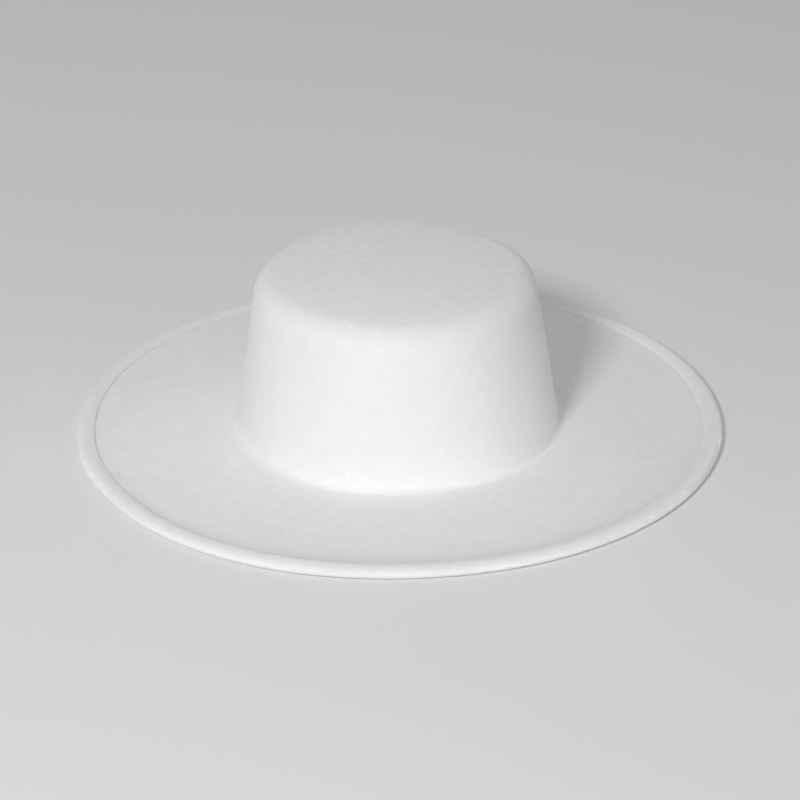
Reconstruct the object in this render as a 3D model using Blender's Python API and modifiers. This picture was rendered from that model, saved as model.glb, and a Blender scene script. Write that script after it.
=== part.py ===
# White felt hat with a flat oval crown and a wide flat brim.
# Two pieces: the blocked felt, crown and brim in one, and the felt strip that binds the brim's edge.
# Metres, +Z up, front of the hat towards -Y. The origin is on the surface that the hat rests on,
# under the middle of the crown.

import math

import bmesh
import bpy

# Driving dimensions
CROWN_HALF_WIDTH = 0.0880      # outside of the crown where it meets the brim, side to side
CROWN_HALF_LENGTH = 0.0985     # the same, front to back
OVAL_POWER = 2.12              # 2 is an ellipse, a little more fills out its shoulders
CROWN_HEIGHT = 0.0854          # from the top of the brim to the top of the round shoulder
CROWN_TAPER = 0.0131           # how far the wall would lean in over the crown's whole height
DIAGONAL_TAPER = 0.0032        # how much further it would lean in half way from side to front
TOP_EDGE_RADIUS = 0.0130       # the round shoulder, from the wall to the flat top
TOP_RISE = 0.0022              # the flat top is a little higher in its middle
TOP_POWER = 4                  # 2 is an even dome, more stays flat longer and falls later
FOOT_RADIUS = 0.0040           # the hollow curve from the brim to the wall
BRIM_WIDTH = 0.0883            # from the crown's foot to the outside of the binding
FELT = 0.0020                  # thickness of the blocked felt

BINDING_WIDTH = 0.0102         # from the rolled edge in to the seam
STRIP = 0.00145                # thickness of the binding's felt
STRIP_AT_SEAM = 0.0009         # the strip where the stitches pull it down
CLEARANCE = 0.0003             # air between the binding and the brim

# How finely the curves are cut
AROUND = 96
FOOT_STEPS = 3
TOP_EDGE_STEPS = 6
TOP_RINGS = 3
ROLL_STEPS = 8
POCKET_STEPS = 4
CREASE_ANGLE = math.radians(40)   # edges that turn more than this are shaded as creases

ROLL_RADIUS = STRIP + CLEARANCE + FELT / 2
BRIM_TOP = STRIP + CLEARANCE + FELT
ROLL_CENTRE = BRIM_WIDTH - ROLL_RADIUS
SEAM_OUTSET = BRIM_WIDTH - BINDING_WIDTH
WALL_LEAN = math.atan2(CROWN_TAPER, CROWN_HEIGHT)
SHOULDER_END = CROWN_HEIGHT - TOP_EDGE_RADIUS * (1 - math.sin(WALL_LEAN))
SHOULDER_OUTSET = -SHOULDER_END * math.tan(WALL_LEAN) - TOP_EDGE_RADIUS * math.cos(WALL_LEAN)
TOP_HALF_WIDTH = (CROWN_HALF_WIDTH + CROWN_HALF_LENGTH) / 2 + SHOULDER_OUTSET
TOP_SLOPE = math.atan2(TOP_POWER * TOP_RISE, TOP_HALF_WIDTH)

FELT_WHITE = (0.86, 0.86, 0.855, 1.0)
FELT_ROUGHNESS = 0.95


def clear_scene():
    """Removes every object, so that the hat is alone in the file."""
    for old in list(bpy.data.objects):
        bpy.data.objects.remove(old, do_unlink=True)


def oval_point(step, outset):
    """A point of the crown's oval, moved out from it by outset along the oval's own normal."""
    angle = 2 * math.pi * step / AROUND
    along_x = abs(math.cos(angle)) / CROWN_HALF_WIDTH
    along_y = abs(math.sin(angle)) / CROWN_HALF_LENGTH
    reach = (along_x ** OVAL_POWER + along_y ** OVAL_POWER) ** (-1 / OVAL_POWER)
    x, y = reach * math.cos(angle), reach * math.sin(angle)
    normal_x = math.copysign((abs(x) / CROWN_HALF_WIDTH) ** (OVAL_POWER - 1) / CROWN_HALF_WIDTH, x)
    normal_y = math.copysign((abs(y) / CROWN_HALF_LENGTH) ** (OVAL_POWER - 1) / CROWN_HALF_LENGTH, y)
    length = math.hypot(normal_x, normal_y)
    return x + outset * normal_x / length, y + outset * normal_y / length


def add_ring(bm, outset, height, spread=1.0, rise=0.0):
    """One closed ring of vertices; spread draws it in towards the middle of the crown.

    rise is its height above the brim; it leans the four diagonals in."""
    diagonal_lean = DIAGONAL_TAPER * rise / CROWN_HEIGHT
    ring = []
    for step in range(AROUND):
        diagonal = math.sin(4 * math.pi * step / AROUND) ** 2
        x, y = oval_point(step, outset - diagonal_lean * diagonal)
        ring.append(bm.verts.new((x * spread, y * spread, height)))
    return ring


def join_rings(bm, outer, inner):
    """A band of four-sided faces from one ring to the next, facing up and out."""
    for step in range(AROUND):
        after = (step + 1) % AROUND
        bm.faces.new((outer[step], outer[after], inner[after], inner[step]))


def foot_rows():
    """The hollow curve from the flat brim up to the leaning wall, as (outset, height) rows."""
    centre = FOOT_RADIUS * (1 - math.sin(WALL_LEAN)) / math.cos(WALL_LEAN)
    start, end = 1.5 * math.pi, math.pi + WALL_LEAN
    rows = []
    for step in range(FOOT_STEPS + 1):
        angle = start + (end - start) * step / FOOT_STEPS
        height = BRIM_TOP + FOOT_RADIUS + FOOT_RADIUS * math.sin(angle)
        rows.append((centre + FOOT_RADIUS * math.cos(angle), height))
    return rows


def top_edge_rows():
    """The round shoulder, from where it leaves the wall to where it meets the low dome of the top."""
    centre_height = BRIM_TOP + CROWN_HEIGHT - TOP_EDGE_RADIUS
    start, end = WALL_LEAN, math.pi / 2 - TOP_SLOPE
    rows = []
    for step in range(TOP_EDGE_STEPS + 1):
        angle = start + (end - start) * step / TOP_EDGE_STEPS
        outset = SHOULDER_OUTSET + TOP_EDGE_RADIUS * math.cos(angle)
        rows.append((outset, centre_height + TOP_EDGE_RADIUS * math.sin(angle)))
    return rows


def felt_skin(bm):
    """The hat's outer skin, an open surface from the brim's edge up over the crown."""
    shoulder = top_edge_rows()
    rows = [(ROLL_CENTRE, BRIM_TOP)] + foot_rows() + shoulder
    rings = [add_ring(bm, outset, height, 1.0, height - BRIM_TOP) for outset, height in rows]
    top_outset, top_height = shoulder[-1]
    for step in range(1, TOP_RINGS + 1):
        spread = math.sqrt(1 - step / (TOP_RINGS + 1))
        height = top_height + TOP_RISE * (1 - spread ** TOP_POWER)
        rings.append(add_ring(bm, top_outset, height, spread, top_height - BRIM_TOP))
    for outer, inner in zip(rings, rings[1:]):
        join_rings(bm, outer, inner)
    middle = bm.verts.new((0, 0, top_height + TOP_RISE))
    last = rings[-1]
    for step in range(AROUND):
        bm.faces.new((last[step], last[(step + 1) % AROUND], middle))


def arc_rows(radius, start, end, steps):
    """Points of an arc about the middle of the rolled edge, as (outset, height) rows."""
    rows = []
    for step in range(steps + 1):
        angle = start + (end - start) * step / steps
        rows.append((ROLL_CENTRE + radius * math.cos(angle), ROLL_RADIUS + radius * math.sin(angle)))
    return rows


def binding_section():
    """The binding's section, a strip folded round the brim's edge, as a closed run of points."""
    quarter = math.pi / 2
    roll = arc_rows(ROLL_RADIUS, -quarter, quarter, ROLL_STEPS)
    pocket = arc_rows(ROLL_RADIUS - STRIP, quarter, -quarter, POCKET_STEPS)
    pocket_top = pocket[0][1]
    seam_top = pocket_top + STRIP_AT_SEAM
    shoulder = SEAM_OUTSET + STRIP_AT_SEAM / 2
    cut_end = [(shoulder, seam_top), (SEAM_OUTSET, pocket_top + STRIP_AT_SEAM / 2)]
    upper_leg = cut_end + [(SEAM_OUTSET, pocket_top)]
    lower_leg = [(SEAM_OUTSET, STRIP), (SEAM_OUTSET, 0)]
    return roll + upper_leg + pocket + lower_leg


def binding_tube(bm):
    """Carries the section round the brim and closes it on itself."""
    rings = [add_ring(bm, outset, height) for outset, height in binding_section()]
    for outer, inner in zip(rings, rings[1:] + rings[:1]):
        join_rings(bm, outer, inner)


def felt_material(name, colour, roughness):
    """A plain Principled material."""
    material = bpy.data.materials.new(name)
    material.use_nodes = True
    shader = material.node_tree.nodes["Principled BSDF"]
    shader.inputs["Base Color"].default_value = colour
    shader.inputs["Roughness"].default_value = roughness
    shader.inputs["Metallic"].default_value = 0.0
    material.diffuse_color = colour
    return material


def add_piece(name, fill, material, parent, collection):
    """Makes one named piece from the function that fills its mesh."""
    mesh = bpy.data.meshes.new(name)
    bm = bmesh.new()
    fill(bm)
    bm.to_mesh(mesh)
    bm.free()
    mesh.shade_smooth()
    mesh.set_sharp_from_angle(angle=CREASE_ANGLE)
    mesh.materials.append(material)
    piece = bpy.data.objects.new(name, mesh)
    collection.objects.link(piece)
    piece.parent = parent
    return piece


def build_hat():
    """Builds the two pieces under one empty that stands at the hat's origin."""
    collection = bpy.data.collections.new("flat_crown_hat")
    bpy.context.scene.collection.children.link(collection)
    root = bpy.data.objects.new("hat_origin", None)
    collection.objects.link(root)

    body_felt = felt_material("body_felt", FELT_WHITE, FELT_ROUGHNESS)
    felt_body = add_piece("felt_body", felt_skin, body_felt, root, collection)
    wall = felt_body.modifiers.new("felt_wall", "SOLIDIFY")
    wall.thickness = FELT
    wall.offset = -1
    wall.use_even_offset = True

    binding_felt = felt_material("binding_felt", FELT_WHITE, FELT_ROUGHNESS)
    add_piece("edge_binding", binding_tube, binding_felt, root, collection)


clear_scene()
build_hat()
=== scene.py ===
# White felt hat with a flat oval crown and a wide flat brim: its looks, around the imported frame.
# Metres, +Z up, front of the hat towards -Y.
import math

import bpy
import numpy as np
from mathutils import Matrix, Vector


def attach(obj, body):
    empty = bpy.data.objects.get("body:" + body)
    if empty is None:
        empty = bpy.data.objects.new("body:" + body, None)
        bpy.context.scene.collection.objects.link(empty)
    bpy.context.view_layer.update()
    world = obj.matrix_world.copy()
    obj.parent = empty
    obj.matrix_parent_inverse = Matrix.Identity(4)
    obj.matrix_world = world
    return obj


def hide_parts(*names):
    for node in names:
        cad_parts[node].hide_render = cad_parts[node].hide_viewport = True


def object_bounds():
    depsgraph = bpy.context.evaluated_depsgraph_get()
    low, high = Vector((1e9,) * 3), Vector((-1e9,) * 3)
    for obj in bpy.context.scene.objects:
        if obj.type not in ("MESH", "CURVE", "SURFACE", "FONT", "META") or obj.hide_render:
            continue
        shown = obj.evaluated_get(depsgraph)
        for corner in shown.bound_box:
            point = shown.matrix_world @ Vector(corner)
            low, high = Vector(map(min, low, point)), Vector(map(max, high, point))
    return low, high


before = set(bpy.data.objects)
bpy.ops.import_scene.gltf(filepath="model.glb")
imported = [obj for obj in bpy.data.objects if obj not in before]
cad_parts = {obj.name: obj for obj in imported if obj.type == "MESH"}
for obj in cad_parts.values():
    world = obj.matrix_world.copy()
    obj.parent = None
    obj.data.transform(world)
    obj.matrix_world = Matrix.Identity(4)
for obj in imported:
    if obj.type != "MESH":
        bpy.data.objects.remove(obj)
cadLow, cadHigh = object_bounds()
print("frame loaded:", ", ".join(sorted(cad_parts)))

# The hat's own sizes; the rest follows from the frame's box
hat = {
    "brimWidth": 0.0883,       # from the crown's foot to the outside of the rolled edge
    "ovalPower": 2.12,         # 2 is an ellipse, a little more fills out its shoulders
    "crownTaper": 0.0131,      # how far the wall would lean in over the crown's whole height
    "diagonalTaper": 0.0032,   # how much further it would lean in half way from side to front
    "topEdgeRadius": 0.0130,   # the round shoulder
    "topRise": 0.0022,         # the flat top is a little higher in its middle
    "topPower": 4,             # 2 is an even dome, more stays flat longer and falls later
    "footRadius": 0.0040,      # the hollow curve from the brim to the wall
    "felt": 0.0020,            # thickness of the blocked felt
    "strip": 0.00145,          # thickness of the binding's felt
    "clearance": 0.0003,       # air between the binding and the brim
    "bindingWidth": 0.0102,    # from the rolled edge in to the seam
}
halfWidth = cadHigh.x - hat["brimWidth"]
halfLength = cadHigh.y - hat["brimWidth"]
rollRadius = hat["strip"] + hat["clearance"] + hat["felt"] / 2
brimTop = hat["strip"] + hat["clearance"] + hat["felt"]
rollCentre = hat["brimWidth"] - rollRadius
seamOutset = hat["brimWidth"] - hat["bindingWidth"]
crownHeight = cadHigh.z - brimTop - hat["topRise"]
wallLean = math.atan2(hat["crownTaper"], crownHeight)


def ovalPoints(angle, outset, spread=1.0):
    # the crown's oval by polar angle, a superellipse, moved out along its own normal by outset;
    # spread then draws the points in towards the crown's middle
    power = hat["ovalPower"]
    alongX, alongY = np.abs(np.cos(angle)) / halfWidth, np.abs(np.sin(angle)) / halfLength
    reach = (alongX ** power + alongY ** power) ** (-1 / power)
    x, y = reach * np.cos(angle), reach * np.sin(angle)
    normalX = np.sign(x) * (np.abs(x) / halfWidth) ** (power - 1) / halfWidth
    normalY = np.sign(y) * (np.abs(y) / halfLength) ** (power - 1) / halfLength
    length = np.hypot(normalX, normalY)
    return (x + outset * normalX / length) * spread, (y + outset * normalY / length) * spread


def gauss(distance, width):
    # a bell, 1 where the distance is 0
    return np.exp(-(distance / width) ** 2)


def towardsPlace(angle, towards, wide):
    # 1 at an angle given in degrees, less around it as a bell
    return gauss(np.mod(np.degrees(angle) - towards + 180, 360) - 180, wide)


# How far the hand-blocked felt strays from its true form; angles of places in degrees, from +X
settling = {
    "dip": 0.0016,             # how far the front brim sinks inside the seam
    "dipAt": 0.0008,           # where it sinks fastest, from the seam inwards
    "dipOutside": 0.0008,      # how soon it sinks, outside that place
    "dipInside": 0.0062,       # and inside it
    "dipAtFoot": 0.035,        # how soon it is up again at the crown's foot
    "seamIn": 0.0021,          # how much further in the front of the seam runs
    "pastSeam": 1.2,           # the most of that by which the strip's cut end moves with it
    "crownWave": 0.00028,      # soft dents and swells of the crown
    "brimWave": 0.00022,       # the brim's edge in and out
    "brimLift": 0.0002,        # how far the brim rises off the floor at its highest
    "liftTowards": math.radians(12),
    "swellShare": 0.25,        # of the lift, the part that swells and sinks round the brim
    # sines round the crown: share, waves, phase and turn up the wall
    "crownSines": [(1.0, 3, 1.1, 2.0), (0.6, 5, -0.7, 5.0)],
    "brimSines": [(1.0, 4, 0.4, 0), (0.5, 9, 2.1, 0)],
    "liftSines": [(0.3, 5, 1.3, 0), (0.2, 11, 0, 0), (0.5, 0, math.pi / 2, 0)],
    # sines across the top: share, waves along X and Y, phase
    "topSines": [(0.5, 46, 38, 1.5), (0.5, 46, -38, -0.5), (0.4, 71, -52, 0)],
    # full and drawn-in places of the brim's edge: towards, how wide, how far out
    "brimPlaces": [
        (-18, 14, 0.0008),
        (-65, 40, 0.0011),
        (-110, 32, 0.0008),
        (-155, 15, -0.0011),
        (28, 18, -0.0006),
    ],
    # soft and full places of the shoulder: towards, how wide, how far out and how far up
    "shoulderPlaces": [(-90, 50, -0.0005, -0.0010), (16, 26, 0.0012, 0.0001)],
    "shoulderReach": 0.009,    # how far such a place spreads over the shoulder
}


def sumSines(sines, angle, upWall):
    # the sum of sines of the angle, each turned further the higher up the wall
    return sum(share * np.sin(waves * angle + phase + turn * upWall)
               for share, waves, phase, turn in sines)


def settle(points):
    # adds long soft waves: sums of sines of the angle about the crown and of the height, in and out
    # and, on the brim, upwards; the same for every piece, so that they stay seated on each other
    x, y, z = points[..., 0], points[..., 1], points[..., 2]
    angle, radius = np.arctan2(y, x), np.hypot(x, y)
    across = np.clip(radius / halfWidth, 0, 1)
    upWall = np.clip(z / crownHeight, 0, 1)
    onBrim = np.clip((radius - halfWidth) / hat["brimWidth"], 0, 1)
    crownSway = sumSines(settling["crownSines"], angle, upWall)
    brimSway = sumSines(settling["brimSines"], angle, upWall)
    push = settling["crownWave"] * crownSway * upWall * across
    push = push + settling["brimWave"] * brimSway * onBrim
    for towards, wide, far in settling["brimPlaces"]:
        push = push + far * towardsPlace(angle, towards, wide) * onBrim
    lift = (0.5 + 0.5 * np.cos(angle - settling["liftTowards"])) ** 2
    swell, part = sumSines(settling["liftSines"], angle, upWall), settling["swellShare"]
    rise = settling["brimLift"] * onBrim ** 2 * ((1 - part) * lift + part * swell)
    topSway = sum(share * np.sin(alongX * x + alongY * y + phase)
                  for share, alongX, alongY, phase in settling["topSines"])
    rise = rise + settling["crownWave"] * topSway * upWall ** 2
    moved = np.array(points, dtype=float)
    moved[..., 0] += push * np.cos(angle)
    moved[..., 1] += push * np.sin(angle)
    moved[..., 2] += rise
    return moved


def seamShift(angle):
    # how far the seam runs inside its true line: a squared sine, most at the front
    return settling["seamIn"] * np.clip(-np.sin(angle), 0, 1) ** 2


def widenFront(outset, angle):
    # moves the points of the binding in with the seam, by their share of the way from the roll
    share = np.clip((rollCentre - outset) / (rollCentre - seamOutset), 0, settling["pastSeam"])
    return outset - seamShift(angle) * share


def brimDip(outset, height, angle):
    # the front brim sinks inside the seam: a hyperbolic tangent of the distance up to the steepest
    # place, an exponential with the same slope from there on, and another that brings it up again
    # at the crown's foot; it fades in the binding's lower leg, which lies on the floor
    slope = settling["dip"] / (settling["dipOutside"] + settling["dipInside"])
    past = seamOutset - seamShift(angle) - settling["dipAt"] - outset
    before = settling["dipOutside"] * (1 + np.tanh(np.minimum(past, 0) / settling["dipOutside"]))
    after = settling["dipInside"] * (1 - np.exp(-np.maximum(past, 0) / settling["dipInside"]))
    fromFoot = 1 - np.exp(-np.maximum(outset - hat["footRadius"], 0) / settling["dipAtFoot"])
    towardsFront = 0.5 - 0.5 * np.sin(angle)
    overFloor = np.clip(height / (brimTop - hat["felt"]), 0, 1)
    return -slope * (before + after) * fromFoot * towardsFront * overFloor


def shoulderPush(outset, height, spread, angle):
    # how far the felt is pushed out and up across the shoulder: bells of the distance from the
    # middle of its round, and of the angle from each place
    edge, diagonal = hat["topEdgeRadius"], math.sqrt(0.5)
    middleOut = -crownHeight * math.tan(wallLean) - edge * (1 - diagonal)
    middleUp = brimTop + crownHeight - edge * (1 - diagonal)
    inwards = outset - (1 - spread) * (halfWidth + outset)
    near = gauss(np.hypot(inwards - middleOut, height - middleUp), settling["shoulderReach"])
    out, up = 0, 0
    for towards, wide, farOut, farUp in settling["shoulderPlaces"]:
        place = towardsPlace(angle, towards, wide)
        out, up = out + farOut * place, up + farUp * place
    return near * out, near * up


def gridFaces(rows, columns, closeRows):
    # four-sided faces of a grid that is closed along its columns, and along its rows if asked
    row = np.arange(rows if closeRows else rows - 1)[:, None]
    column = np.arange(columns)[None, :]
    nextRow, nextColumn = (row + 1) % rows, (column + 1) % columns
    corners = [row * columns + column, row * columns + nextColumn]
    corners += [nextRow * columns + nextColumn, nextRow * columns + column]
    return np.stack(corners, axis=-1).reshape(-1, 4)


def fanFaces(ring, pole):
    # three-sided faces from a closed run of vertices to one pole
    return np.stack([ring, np.roll(ring, -1), np.full(len(ring), pole)], axis=-1)


def makePiece(name, points, quads, triangles, material, masks=None):
    # masks are values at the points that the material reads by their names
    mesh = bpy.data.meshes.new(name)
    loops = np.concatenate([quads.reshape(-1), triangles.reshape(-1)]).astype(np.int32)
    quadStarts = np.arange(len(quads)) * 4
    triangleStarts = len(quads) * 4 + np.arange(len(triangles)) * 3
    starts = np.concatenate([quadStarts, triangleStarts]).astype(np.int32)
    mesh.vertices.add(len(points))
    mesh.vertices.foreach_set("co", np.asarray(points, np.float32).reshape(-1))
    mesh.loops.add(len(loops))
    mesh.loops.foreach_set("vertex_index", loops)
    mesh.polygons.add(len(starts))
    mesh.polygons.foreach_set("loop_start", starts)
    mesh.update(calc_edges=True)
    mesh.validate()
    for label, mask in (masks or {}).items():
        attribute = mesh.attributes.new(label, "FLOAT", "POINT")
        attribute.data.foreach_set("value", mask.astype(np.float32))
    mesh.shade_smooth()
    mesh.materials.append(material)
    piece = bpy.data.objects.new(name, mesh)
    bpy.context.scene.collection.objects.link(piece)
    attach(piece, "root")
    print(name, "has", 2 * len(quads) + len(triangles), "triangles")
    return piece


# The effects that the felts share, as node groups, and the noises that they are made of
feltNoises = {
    "fibres": {"Scale": 520, "Detail": 2, "Roughness": 0.5, "Distortion": 0.6},
    "grain": {"Scale": 1300, "Detail": 3, "Roughness": 0.6},
    "mottle": {"Scale": 150, "Detail": 6, "Roughness": 0.78},
    "nap": {"Scale": 640, "Detail": 3, "Roughness": 0.55, "Distortion": 0.3},
}
fibreShrink = (0.22, 1.6, 1.6)                                # less than 1 draws them out
fibreTurns = ((0, 0.15, 0.2), (0, 0.35, 2.3), (0, -0.5, 4.4))
fibreSharpness = 9.0
napShrink = (1, 1, 0.09)
middleTone = 0.5                                              # of a noise, and between two tones


def newGroup(name, inputs, outputs):
    group = bpy.data.node_groups.new(name, "ShaderNodeTree")
    for label, kind in inputs:
        group.interface.new_socket(label, in_out="INPUT", socket_type=kind)
    for label, kind in outputs:
        group.interface.new_socket(label, in_out="OUTPUT", socket_type=kind)
    return group, group.nodes.new("NodeGroupInput"), group.nodes.new("NodeGroupOutput")


def addGroup(tree, group, vector):
    node = tree.nodes.new("ShaderNodeGroup")
    node.node_tree = group
    tree.links.new(vector, node.inputs["Vector"])
    return node.outputs


def addMath(tree, operation, *values):
    # a Math node; numbers are set on its sockets, outputs of other nodes are linked
    node = tree.nodes.new("ShaderNodeMath")
    node.operation = operation
    for socket, value in zip(node.inputs, values):
        if isinstance(value, (int, float)):
            socket.default_value = value
        else:
            tree.links.new(value, socket)
    return node.outputs[0]


def addShares(tree, *parts):
    # the sum of values, each times its share
    total = 0.0
    for value, share in parts:
        total = addMath(tree, "MULTIPLY_ADD", value, share, total)
    return total


def addNoise(tree, vector, settings, shrink=(1, 1, 1), turn=(0, 0, 0)):
    # a noise that is turned, and then shrunk along each of its own axes
    mapping = tree.nodes.new("ShaderNodeMapping")
    mapping.vector_type = "TEXTURE"
    mapping.inputs["Scale"].default_value = [1 / part for part in shrink]
    mapping.inputs["Rotation"].default_value = turn
    tree.links.new(vector, mapping.inputs["Vector"])
    noise = tree.nodes.new("ShaderNodeTexNoise")
    for label, value in settings.items():
        noise.inputs[label].default_value = value
    tree.links.new(mapping.outputs[0], noise.inputs["Vector"])
    return noise.outputs[0]


def addMask(tree, label):
    node = tree.nodes.new("ShaderNodeAttribute")
    node.attribute_name = label
    return node.outputs["Fac"]


def makeFeltGrain():
    # matted fibres: three sets of long thin noises, each drawn out another way, so that they cross
    # each other, over a fine even grain
    labels = ("Fibres", "Grain", "Mottle")
    outputs = [(label, "NodeSocketFloat") for label in labels]
    group, inside, outside = newGroup("feltGrain", [("Vector", "NodeSocketVector")], outputs)
    vector = inside.outputs["Vector"]
    crossing = 1.0
    for turn in fibreTurns:
        strand = addNoise(group, vector, feltNoises["fibres"], fibreShrink, turn)
        ridge = addMath(group, "ABSOLUTE", addMath(group, "SUBTRACT", strand, middleTone))
        crossing = addMath(group, "MINIMUM", crossing, ridge)
    fibres = addMath(group, "SUBTRACT", 1.0, addMath(group, "MULTIPLY", crossing, fibreSharpness))
    group.links.new(addMath(group, "MAXIMUM", fibres, 0.0), outside.inputs["Fibres"])
    group.links.new(addNoise(group, vector, feltNoises["grain"]), outside.inputs["Grain"])
    group.links.new(addNoise(group, vector, feltNoises["mottle"]), outside.inputs["Mottle"])
    return group


def makeBrushedNap():
    # the nap as brushed: noise drawn out along Z, which runs down the wall as fine streaks and
    # stays an even grain on the level parts
    outputs = [("Streaks", "NodeSocketFloat")]
    group, inside, outside = newGroup("brushedNap", [("Vector", "NodeSocketVector")], outputs)
    streaks = addNoise(group, inside.outputs["Vector"], feltNoises["nap"], napShrink)
    group.links.new(streaks, outside.inputs["Streaks"])
    return group


feltGrain = makeFeltGrain()
brushedNap = makeBrushedNap()


def makeFelt(name, look):
    # felt: the grain and the nap move its tone, its roughness and its height a little; the masks
    # say where the felt lies level, where its nap is ruffled, and where light is painted into its
    # tone, darker inside the front seam
    material = bpy.data.materials.new(name)
    material.use_nodes = True
    tree = material.node_tree
    shader = tree.nodes["Principled BSDF"]
    place = tree.nodes.new("ShaderNodeTexCoord").outputs["Object"]
    grain, nap = addGroup(tree, feltGrain, place), addGroup(tree, brushedNap, place)
    fibres, fine, mottle, streaks = grain["Fibres"], grain["Grain"], grain["Mottle"], nap["Streaks"]
    level, ruffled, paintedLightSeamMask = addMask(tree, "level"), addMask(tree, "ruffled"), addMask(tree, "paintedLightSeamMask")
    keep = addMath(tree, "MULTIPLY_ADD", level, 1 - look["wallGrain"], look["wallGrain"])
    keep = addMath(tree, "MULTIPLY_ADD", ruffled, look["ruffledGrain"], keep)

    tone = addShares(tree, (mottle, look["mottle"]), (streaks, look["streakTone"]),
                     (fine, look["grainTone"]), (fibres, look["fibreTone"]))
    usual = (look["mottle"] + look["streakTone"] + look["grainTone"]) * middleTone
    strayed = addMath(tree, "SUBTRACT", tone, usual)
    factor = addMath(tree, "MULTIPLY_ADD", strayed, keep, middleTone)
    # painted light: this mask moves the tone lighter where light is painted in, and darker inside
    # the front seam
    factor = addMath(tree, "MULTIPLY_ADD", paintedLightSeamMask, look["paintedLightShare"], factor)
    colour = tree.nodes.new("ShaderNodeMix")
    colour.data_type = "RGBA"
    tree.links.new(factor, colour.inputs["Factor"])
    colour.inputs["A"].default_value = look["shade"]
    colour.inputs["B"].default_value = look["light"]
    tree.links.new(colour.outputs["Result"], shader.inputs["Base Color"])

    smoothest = look["roughness"] - look["roughGrain"] * middleTone
    rough = addMath(tree, "MULTIPLY_ADD", fine, look["roughGrain"], smoothest)
    tree.links.new(rough, shader.inputs["Roughness"])

    height = addShares(tree, (fibres, look["fibreHeight"]), (fine, look["grainHeight"]),
                       (streaks, look["napHeight"]))
    bump = tree.nodes.new("ShaderNodeBump")
    bump.inputs["Strength"].default_value = look["bump"]
    bump.inputs["Distance"].default_value = look["relief"]
    tree.links.new(addMath(tree, "MULTIPLY", height, keep), bump.inputs["Height"])
    tree.links.new(bump.outputs["Normal"], shader.inputs["Normal"])

    shader.inputs["Sheen Weight"].default_value = look["sheen"]
    shader.inputs["Sheen Roughness"].default_value = look["sheenRoughness"]
    shader.inputs["Specular IOR Level"].default_value = look["specular"]
    return material


# The blocked felt of crown and brim
bodyLook = {
    "shade": (0.82, 0.82, 0.82, 1),
    "light": (0.98, 0.98, 0.975, 1),
    "mottle": 0.90,
    "streakTone": 0.60,
    "grainTone": 0.45,
    "fibreTone": 0.10,
    "wallGrain": 0.42,         # of the grain, what is left where the felt stands up
    "ruffledGrain": 3.0,       # how much more where the nap is ruffled
    "paintedLightShare": 0.24,             # how far the tone goes towards the light one where light is painted in
    "roughness": 0.93,
    "roughGrain": 0.12,        # how much the roughness changes with the grain
    "fibreHeight": 0.5,
    "grainHeight": 0.7,
    "napHeight": 0.8,
    "bump": 0.6,
    "relief": 0.00012,
    "sheen": 0.10,
    "sheenRoughness": 0.45,
    "specular": 0.2,
}
bodyMesh = {
    "around": 320,
    "outerRows": (40, 10, 40, 24, 40),   # brim, foot, wall, shoulder, top
    "innerRows": (20, 8, 20, 12, 16),
    "rimRows": 5,
}
# Where handling has ruffled the nap: places, widths and how much
ruffledSpots = [
    ((0.077, -0.020, 0.078), 0.022, 1.0),
    ((-0.024, 0.046, 0.091), 0.030, 0.4),
    ((-0.077, 0.010, 0.075), 0.016, 0.6),
    ((0.000, 0.092, 0.060), 0.020, 0.5),
]
# Painted light on the felt: a lighter spot on the top's front left, where the key light falls, and
# a painted glow at the front of the crown's foot, where light is thrown back between brim and wall;
# and the tone darker just inside the front seam; towards gives an angle and how wide, in degrees
paintedLightPlaces = {
    "topSpot": (-0.020, -0.040, 0.090),
    "topWide": 0.045,
    "footWide": 0.011,
    "footTowards": (-92, 62),
    # how much darker the tone is just inside the front seam, most at the front
    "seamDarker": 1.1,
    "seamReach": 0.010,
    "seamTowards": (-95, 62),
}


def ruffling(points):
    # the highest of the bells of the distance from each ruffled spot
    highest = 0
    for spot, width, much in ruffledSpots:
        away = np.linalg.norm(points - np.array(spot), axis=-1)
        highest = np.maximum(highest, much * gauss(away, width))
    return highest


def paintedLightAndSeam(points):
    # painted light: bells of the distance from the lit spot on the top and from the foot line, less
    # an exponential of the distance inside the seam, the last two fading with the angle from the
    # front
    x, y, z = points[..., 0], points[..., 1], points[..., 2]
    angle, radius = np.arctan2(y, x), np.hypot(x, y)
    fromSpot = np.linalg.norm(points - np.array(paintedLightPlaces["topSpot"]), axis=-1)
    onTop = gauss(fromSpot, paintedLightPlaces["topWide"])
    fromFoot = np.hypot(radius - np.hypot(*ovalPoints(angle, 0)), z - brimTop)
    atFoot = gauss(fromFoot, paintedLightPlaces["footWide"]) * towardsPlace(angle, *paintedLightPlaces["footTowards"])
    fromSeam = np.abs(np.hypot(*ovalPoints(angle, seamOutset)) - radius)
    atSeam = np.exp(-fromSeam / paintedLightPlaces["seamReach"])
    atSeam = atSeam * towardsPlace(angle, *paintedLightPlaces["seamTowards"])
    return np.maximum(onTop, atFoot) - paintedLightPlaces["seamDarker"] * atSeam


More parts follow.
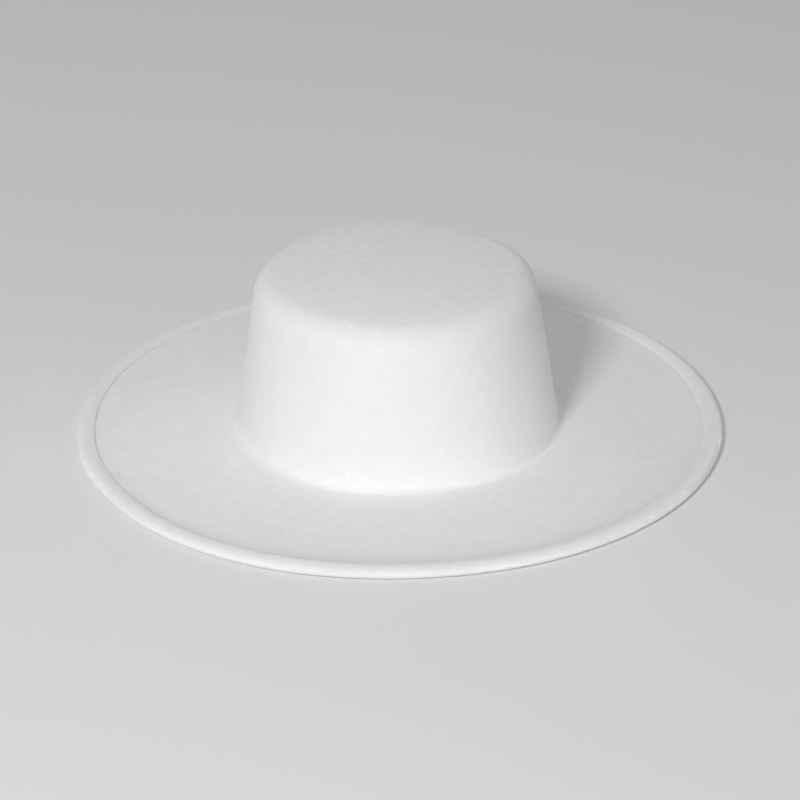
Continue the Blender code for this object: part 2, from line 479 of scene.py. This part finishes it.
def skinProfile(depth, rows):
    # the felt's section from the brim's edge to the crown's middle, sunk by depth below the outer
    # skin: a level brim, a hollow arc, a leaning wall, a round arc and a low dome; gives outset,
    # height, spread and how level the felt lies, for each row
    brimRows, footRows, wallRows, shoulderRows, topRows = rows
    footCentre = hat["footRadius"] * (1 - math.sin(wallLean)) / math.cos(wallLean)
    footAngle = np.linspace(1.5 * math.pi, math.pi + wallLean, footRows + 1)
    footReach = hat["footRadius"] + depth
    footOut = footCentre + footReach * np.cos(footAngle)
    footUp = brimTop + hat["footRadius"] + footReach * np.sin(footAngle)
    brimOut = np.linspace(rollCentre, footOut[0], brimRows, endpoint=False)
    brimUp = np.full(brimRows, brimTop - depth)
    edge = hat["topEdgeRadius"]
    shoulderEnd = crownHeight - edge * (1 - math.sin(wallLean))
    shoulderOutset = -shoulderEnd * math.tan(wallLean) - edge * math.cos(wallLean)
    topHalf = (halfWidth + halfLength) / 2 + shoulderOutset
    slope = math.atan2(hat["topPower"] * hat["topRise"], topHalf)
    shoulderAngle = np.linspace(wallLean, math.pi / 2 - slope, shoulderRows + 1)
    shoulderOut = shoulderOutset + (edge - depth) * np.cos(shoulderAngle)
    shoulderUp = brimTop + crownHeight - edge + (edge - depth) * np.sin(shoulderAngle)
    wallPart = np.linspace(0, 1, wallRows + 2)[1:-1]
    wallOut = footOut[-1] + (shoulderOut[0] - footOut[-1]) * wallPart
    wallUp = footUp[-1] + (shoulderUp[0] - footUp[-1]) * wallPart
    wallLevel = np.full(wallRows, math.sin(wallLean))
    topSpread = 1 - np.arange(1, topRows + 1) / (topRows + 1)
    topOut = np.full(topRows, shoulderOut[-1])
    topUp = shoulderUp[-1] + hat["topRise"] * (1 - topSpread ** hat["topPower"])
    outset = [brimOut, footOut, wallOut, shoulderOut, topOut]
    height = [brimUp, footUp, wallUp, shoulderUp, topUp]
    spread = [np.ones(sum(len(stretch) for stretch in outset[:-1])), topSpread]
    level = [np.ones(brimRows), -np.sin(footAngle), wallLevel, np.sin(shoulderAngle)]
    level.append(np.ones(topRows))
    return [np.concatenate(stretches) for stretches in (outset, height, spread, level)]


def makeFeltBody():
    # one closed skin: from the inner pole down the inside, round the rim and up the outside
    outer = skinProfile(0.0, bodyMesh["outerRows"])
    inner = skinProfile(hat["felt"], bodyMesh["innerRows"])
    half, even = hat["felt"] / 2, np.ones(bodyMesh["rimRows"])
    rimAngle = np.linspace(-math.pi / 2, math.pi / 2, bodyMesh["rimRows"] + 2)[1:-1]
    rimOut, rimUp = rollCentre + half * np.cos(rimAngle), brimTop - half + half * np.sin(rimAngle)
    runs = zip(inner, (rimOut, rimUp, even, even), outer)
    joined = [np.concatenate([low[::-1], rim, high]) for low, rim, high in runs]
    outset, height, spread, level = joined
    angle = np.arange(bodyMesh["around"]) * 2 * math.pi / bodyMesh["around"]
    upCrown = np.clip((height - brimTop) / crownHeight, 0, 1)
    drawnIn = hat["diagonalTaper"] * upCrown[:, None] * np.sin(2 * angle)[None, :] ** 2
    out, up = shoulderPush(outset[:, None], height[:, None], spread[:, None], angle[None, :])
    x, y = ovalPoints(angle[None, :], outset[:, None] - drawnIn + out, spread[:, None])
    z = height[:, None] + up + brimDip(outset[:, None], height[:, None], angle[None, :])
    rows, columns = x.shape
    rise, power = hat["topRise"], hat["topPower"]
    poles = [(0, 0, height[row] + rise * spread[row] ** power) for row in (0, -1)]
    points = np.concatenate([np.stack([x, y, z], axis=-1).reshape(-1, 3), np.array(poles)])
    firstRing, lastRing = np.arange(columns)[::-1], (rows - 1) * columns + np.arange(columns)
    fans = [fanFaces(firstRing, rows * columns), fanFaces(lastRing, rows * columns + 1)]
    quads = gridFaces(rows, columns, False)
    masks = {
        "level": np.concatenate([np.repeat(level, columns), [1, 1]]),
        "ruffled": ruffling(points),
        # painted light on the top and at the crown's foot, and a darker tone inside the front seam
        "paintedLightSeamMask": paintedLightAndSeam(points),
    }
    felt, settled = makeFelt("bodyFelt", bodyLook), settle(points)
    return makePiece("feltBody", settled, quads, np.concatenate(fans), felt, masks)


feltBody = makeFeltBody()
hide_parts("felt_body")
print("crown and brim done")

# The strip that binds the brim's edge, and the row of stitches that holds it
seam = {
    "stitches": 360,
    "samples": 6,              # of the binding's section to each stitch
    "chords": 14400,           # that the seam's length is measured by
    "fromCutEdge": 0.0010,     # from the strip's cut edge to the row of stitches
    "pressed": 0.00058,        # thickness of the strip under a stitch
    "crestIn": 0.0008,         # how far the roll's crest lies inside its middle
    "fullTowards": -115,       # where the roll is fullest: the angle and how wide, in degrees
    "fullWide": 45,
    "fullIn": 0.0020,          # how much further in its crest lies there, and how much higher
    "fullUp": 0.0003,
    "undercut": 0.0011,        # how far inside its middle the roll meets the floor
    "fall": 1.8,               # 1 is straight from the crest to the stitches, more is rounder
    "puckerWidth": 0.0011,     # how far either side of the stitches the felt is drawn down
    "pucker": 0.00016,         # how much it comes up again between two stitches' holes
    "pinchLower": 0.00035,     # how far the stitches draw the lower leg up
    "pinchEase": 0.2,          # of that, the part that is gone between two holes
    "cutRound": 0.00100,       # how far from its end the strip's cut edge starts to round
    "cutStep": 0.3,            # of its thickness there, the part that ends as a step
    "air": 0.00004,            # kept between the strip and the brim
    "rollSteps": 12,
    "legSteps": 12,
    "pocketSteps": 4,
}
bindingLook = bodyLook | {"mottle": 0.9, "streakTone": 0.5, "grainTone": 0.8, "sheen": 0.12}


def seamRun(angles):
    # distance along the seam to each angle, from the lengths of many short chords
    x, y = ovalPoints(angles, seamOutset)
    return np.concatenate([[0], np.cumsum(np.hypot(np.diff(x), np.diff(y)))])


seamAngles = np.linspace(0, 2 * math.pi, seam["chords"] + 1)
seamLength = seamRun(seamAngles)


def angleAt(part):
    # the angle at which the seam has run through this part of its whole length
    return np.interp(np.mod(part, 1.0) * seamLength[-1], seamLength, seamAngles)


def bindingSection(pull, angle):
    # the folded strip's section for each sample, pull being 1 in a stitch's hole and 0 between:
    # a quarter ellipse below and one above for the roll, a leg that falls to the stitches as a
    # power of the way there, a round cut end, the pocket that holds the brim, and the lower leg;
    # the crest lies further in, and a little higher, around the fullest place
    ease, air, even = 1 - pull[:, None], seam["air"], np.ones((len(pull), 1))
    full = towardsPlace(angle, seam["fullTowards"], seam["fullWide"])[:, None]
    crest = rollCentre - seam["crestIn"] - seam["fullIn"] * full
    above = rollRadius + seam["fullUp"] * full
    rollAngle = np.linspace(-math.pi / 2, math.pi / 2, seam["rollSteps"] + 1)[None, :]
    middle = np.where(rollAngle > 0, crest, rollCentre - seam["undercut"])
    rollOut = middle + (rollCentre + rollRadius - middle) * np.cos(rollAngle)
    rollUp = rollRadius + np.where(rollAngle > 0, above, rollRadius) * np.sin(rollAngle)

    part = np.linspace(0, 1, seam["legSteps"] + 1)[None, 1:]
    legOut = crest - (crest - seamOutset - seam["cutRound"]) * part
    stitchAt = seamOutset + seam["fromCutEdge"]
    way = np.clip((crest - legOut) / (crest - stitchAt), 0, 1)
    crestUp = rollRadius + above
    legUp = crestUp - (crestUp - brimTop - seam["pressed"]) * way ** seam["fall"]
    pinch = gauss(legOut - stitchAt, seam["puckerWidth"])
    upperUp = legUp + seam["pucker"] * pinch * ease
    lowerUp = (seam["pinchLower"] * pinch * (1 - seam["pinchEase"] * ease))[:, ::-1]

    brimLow = brimTop - hat["felt"]
    pocket = rollRadius - hat["strip"]
    pocketAngle = np.linspace(math.pi / 2, -math.pi / 2, seam["pocketSteps"] + 1)
    pocketOut, pocketUp = pocket * np.cos(pocketAngle), pocket * np.sin(pocketAngle)
    pocketOut = np.concatenate([[seamOutset], rollCentre + pocketOut, [seamOutset]])
    pocketUp = np.concatenate([[brimTop + air], rollRadius + pocketUp, [brimLow - air]])
    cutEnd = (seamOutset - air) * even
    cutTopUp = brimTop + seam["cutStep"] * (upperUp[:, -1:] - brimTop)
    cutLowUp = brimLow + seam["cutStep"] * (lowerUp[:, :1] - brimLow)
    outset = [rollOut, legOut, cutEnd, pocketOut * even, cutEnd, legOut[:, ::-1]]
    height = [rollUp, upperUp, cutTopUp, pocketUp * even, cutLowUp, lowerUp]
    return np.concatenate(outset, axis=1).T, np.concatenate(height, axis=1).T


def makeEdgeBinding():
    # the section at each sample along the seam, as a closed grid
    count = seam["stitches"] * seam["samples"]
    part = np.arange(count) / count
    angle = angleAt(part)
    pull = 0.5 + 0.5 * np.cos(2 * math.pi * seam["stitches"] * part)
    outset, height = bindingSection(pull, angle)
    outset = widenFront(outset, angle[None, :])
    x, y = ovalPoints(angle[None, :], outset)
    z = height + brimDip(outset, height, angle[None, :])
    quads, noFans = gridFaces(*x.shape, True), np.zeros((0, 3), int)
    felt = makeFelt("bindingFelt", bindingLook)
    points = settle(np.stack([x, y, z], axis=-1)).reshape(-1, 3)
    masks = {"level": np.ones(len(points))}
    return makePiece("edgeBinding", points, quads, noFans, felt, masks)


edgeBinding = makeEdgeBinding()
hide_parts("edge_binding")
print("edge binding done")

# The stitches, one thread above and one below
thread = {
    "radius": 0.00019,
    "length": 0.80,            # of the distance from hole to hole
    "sunk": 0.00022,           # of its ends, into the felt
    "proud": 0.00007,          # of its middle, over the felt
    "bedding": 0.2,            # of its radius, how much further up its middle lies
    "endThickness": 0.5,       # of its ends, where 1 is as thick as its middle
    "sway": 0.04,              # how uneven the stitches are, in place and in length
    "slant": 0.00004,          # and how far their ends stray from the row
    "rings": 7,
    "sides": 6,
    "seed": 4,
}
threadLook = bodyLook | {
    "mottle": 0.3,
    "streakTone": 0.0,
    "grainTone": 0.3,
    "roughness": 0.8,
    "sheen": 0.1,
}


def stitchLines():
    # the middle lines of the stitches, the row above the brim and the one below it: each runs along
    # the seam as a parabola, bowed away from the brim, with its ends let into the felt;
    # gives angle, outset and height at each ring, and how thick the thread is there
    draw = np.random.default_rng(thread["seed"])
    count = seam["stitches"]
    share = np.linspace(-0.5, 0.5, thread["rings"])
    bow = 1 - (2 * share) ** 2
    sway = draw.normal(0, thread["sway"], (2, count, 1))
    reach = thread["length"] * (1 + draw.normal(0, thread["sway"], (2, count, 1)))
    part = (np.arange(count)[None, :, None] + 0.5 + sway + share * reach) / count
    slant = draw.normal(0, thread["slant"], (2, count, 1)) * share * 2
    angle = angleAt(part)
    outset = widenFront(seamOutset + seam["fromCutEdge"] + slant, angle)
    surface = np.array([brimTop + seam["pressed"], seam["pinchLower"]])[:, None, None]
    side = np.array([1.0, -1.0])[:, None, None]
    bowed = thread["sunk"] + thread["proud"] + thread["radius"] * thread["bedding"]
    height = surface + side * (-thread["sunk"] + bowed * bow)
    height = height + brimDip(outset, np.maximum(height, 0), angle)
    return angle, outset, height, np.sqrt(np.clip(bow, thread["endThickness"] ** 2, 1))


def makeSeamStitches():
    # a thin round tube about each middle line, closed at both ends by a fan
    angle, outset, height, slim = stitchLines()
    rings, sides = thread["rings"], thread["sides"]
    turn = np.arange(sides) * 2 * math.pi / sides
    ringOut = thread["radius"] * slim[:, None] * np.cos(turn)
    ringUp = thread["radius"] * slim[:, None] * np.sin(turn)
    x, y = ovalPoints(angle[..., None], outset[..., None] + ringOut)
    tubes = np.stack([x, y, height[..., None] + ringUp], axis=-1).reshape(-1, rings * sides, 3)
    endX, endY = ovalPoints(angle[..., [0, -1]], outset[..., [0, -1]])
    ends = np.stack([endX, endY, height[..., [0, -1]]], axis=-1)
    points = np.concatenate([tubes.reshape(-1, 3), ends.reshape(-1, 3)])

    many, perTube = tubes.shape[:2]
    starts = np.arange(many)[:, None, None] * perTube
    quads = (starts + gridFaces(rings, sides, False)[:, ::-1]).reshape(-1, 4)
    poles = many * perTube + 2 * np.arange(many)[:, None]
    sideRun = np.arange(sides)
    firstFans = starts + fanFaces(sideRun, 0)
    lastFans = starts + fanFaces(sideRun[::-1] + perTube - sides, 0)
    firstFans[..., 2], lastFans[..., 2] = poles, poles + 1
    fans = np.concatenate([firstFans, lastFans]).reshape(-1, 3)
    felt = makeFelt("threadFelt", threadLook)
    return makePiece("seamStitches", settle(points), quads, fans, felt)


seamStitches = makeSeamStitches()
print("stitches done")

# Floor, lights and camera
studio = {
    "floorTone": (0.885, 0.885, 0.885, 1),
    "floorRoughness": 0.9,
    "floorSpecular": 0.1,
    "floorSize": 60.0,
    "floorDrop": 0.00005,
    "worldTone": (1.0, 0.98, 0.955, 1),
    "worldStrength": 0.216,
    "away": 2.2,               # of each light from the place that it aims at
}
coolLight, plainLight = (0.975, 0.98, 1.0), (1.0, 1.0, 1.0)
softLight = {"spread": 180, "aim": 0, "tone": coolLight}
wideLight = softLight | {"size": (2.0, 1.4), "tone": plainLight}
narrowLight = {"size": (0.25, 0.03), "spread": 6, "aim": -0.045, "tone": coolLight}
# from: azimuth, 0 at the front and less to the hat's left, and height; they and the spread are in
# degrees, size and aim (above the floor) in metres
lights = {
    "softKey": softLight | {"from": (-27, 34), "size": (0.4, 0.3), "power": 22.9},
    "lowRight": softLight | {"from": (30, 9), "size": (2.0, 0.4), "power": 6.8},
    "leftRearFill": wideLight | {"from": (-120, 30), "power": 4.6},
    "backFill": wideLight | {"from": (160, 50), "power": 5.3},
    "topFill": wideLight | {"from": (0, 80), "power": 2.3},
    "footLeft": narrowLight | {"from": (-75, 15), "power": 0.0066},
    "footFront": narrowLight | {"from": (-15, 15), "power": 0.0018, "tone": plainLight},
    "footRight": narrowLight | {"from": (50, 15), "power": 0.0070},
}
shot = {
    "lens": 121.9,
    "sensor": 36.0,
    "farthest": 200,
    "away": 1.4905,
    "elevation": math.radians(24.37),
    "turn": math.radians(6.09),
    "roll": math.radians(1.17),
    "aimAcross": 0.00153,
    "aimUp": 0.01216,
}


def makeFloor():
    # a square far wider than any view, just under the hat
    half = studio["floorSize"] / 2
    corners = [(-half, -half), (half, -half), (half, half), (-half, half)]
    mesh = bpy.data.meshes.new("floor")
    mesh.from_pydata([(x, y, -studio["floorDrop"]) for x, y in corners], [], [(0, 1, 2, 3)])
    material = bpy.data.materials.new("paleFloor")
    material.use_nodes = True
    shader = material.node_tree.nodes["Principled BSDF"]
    shader.inputs["Base Color"].default_value = studio["floorTone"]
    shader.inputs["Roughness"].default_value = studio["floorRoughness"]
    shader.inputs["Specular IOR Level"].default_value = studio["floorSpecular"]
    mesh.materials.append(material)
    floor = bpy.data.objects.new("floor", mesh)
    bpy.context.scene.collection.objects.link(floor)


def aimedFrom(azimuth, height, away):
    # a place this far off, at this azimuth and height, and a turn that looks back at the origin
    turned = Matrix.Rotation(azimuth, 4, "Z") @ Matrix.Rotation(math.pi / 2 - height, 4, "X")
    return turned @ Matrix.Translation((0, 0, away))


def makeLights():
    for name, light in lights.items():
        lamp = bpy.data.lights.new(name, "AREA")
        lamp.shape = "RECTANGLE"
        lamp.size, lamp.size_y = light["size"]
        lamp.spread = math.radians(light["spread"])
        lamp.energy = light["power"]
        lamp.color = light["tone"]
        holder = bpy.data.objects.new(name, lamp)
        azimuth, height = (math.radians(part) for part in light["from"])
        aim = Matrix.Translation((0, 0, light["aim"]))
        holder.matrix_world = aim @ aimedFrom(azimuth, height, studio["away"])
        holder.visible_camera = False
        bpy.context.scene.collection.objects.link(holder)
    world = bpy.data.worlds.new("paleStudio")
    world.use_nodes = True
    sky = world.node_tree.nodes["Background"]
    sky.inputs["Color"].default_value = studio["worldTone"]
    sky.inputs["Strength"].default_value = studio["worldStrength"]
    bpy.context.scene.world = world
    bpy.context.scene.view_settings.view_transform = "Standard"


def makeCamera():
    lens = bpy.data.cameras.new("camera")
    lens.lens = shot["lens"]
    lens.sensor_width = shot["sensor"]
    lens.clip_end = shot["farthest"]
    camera = bpy.data.objects.new("camera", lens)
    turn = Matrix.Rotation(-shot["turn"], 4, "Z")
    tilt = Matrix.Rotation(math.pi / 2 - shot["elevation"], 4, "X")
    back = Matrix.Translation((0, 0, shot["away"]))
    aim = Matrix.Translation((shot["aimAcross"], 0, shot["aimUp"]))
    camera.matrix_world = turn @ aim @ tilt @ back @ Matrix.Rotation(-shot["roll"], 4, "Z")
    bpy.context.scene.collection.objects.link(camera)
    bpy.context.scene.camera = camera


makeFloor()
makeLights()
makeCamera()
print("floor, light and camera done")
